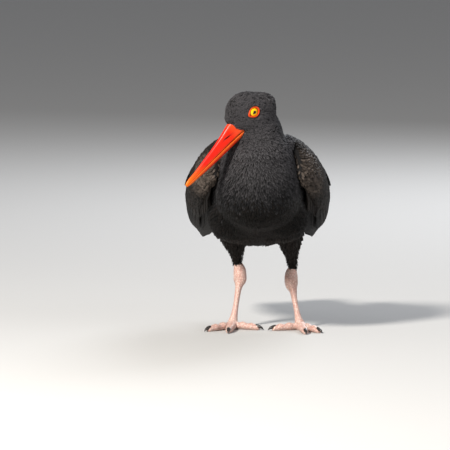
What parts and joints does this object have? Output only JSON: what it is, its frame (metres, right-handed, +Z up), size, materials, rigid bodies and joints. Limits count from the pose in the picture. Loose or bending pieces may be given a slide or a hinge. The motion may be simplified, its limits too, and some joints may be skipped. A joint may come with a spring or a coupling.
{
  "type": "oystercatcher",
  "caption": "Life-size black oystercatcher standing on spread toes, wings half drooped, head turned to its right with the long red bill pointing down.",
  "frame": {"origin": "on the floor under the middle of the bird's bounding box; the soles of the feet are at Z = 0", "axes": "+Z up, +X towards the bird's own left, +Y towards its tail, so that the breast faces -Y and the head is turned and dipped towards -X"},
  "size_m": [0.1484, 0.2836, 0.2475],
  "materials": {
    "slate_plumage": "matte",
    "brown_plumage": "matte",
    "scarlet": "satin",
    "yellow": "gloss",
    "pink": "matte",
    "horn": "satin"
  },
  "bodies": {
    "root": {"head": "slate_plumage", "neck": "slate_plumage", "bill_upper": "scarlet", "bill_lower": "scarlet", "eye_left": "yellow", "eye_ring_left": "scarlet", "eye_right": "yellow", "eye_ring_right": "scarlet", "torso": "slate_plumage", "thigh_left": "brown_plumage", "shank_left": "pink", "toe_inner_left": "pink", "claw_inner_left": "horn", "toe_middle_left": "pink", "claw_middle_left": "horn", "toe_outer_left": "pink", "claw_outer_left": "horn", "thigh_right": "brown_plumage", "shank_right": "pink", "toe_inner_right": "pink", "claw_inner_right": "horn", "toe_middle_right": "pink", "claw_middle_right": "horn", "toe_outer_right": "pink", "claw_outer_right": "horn", "tail": "brown_plumage", "wing_left": "brown_plumage", "wing_right": "brown_plumage"}
  },
  "joints": []
}
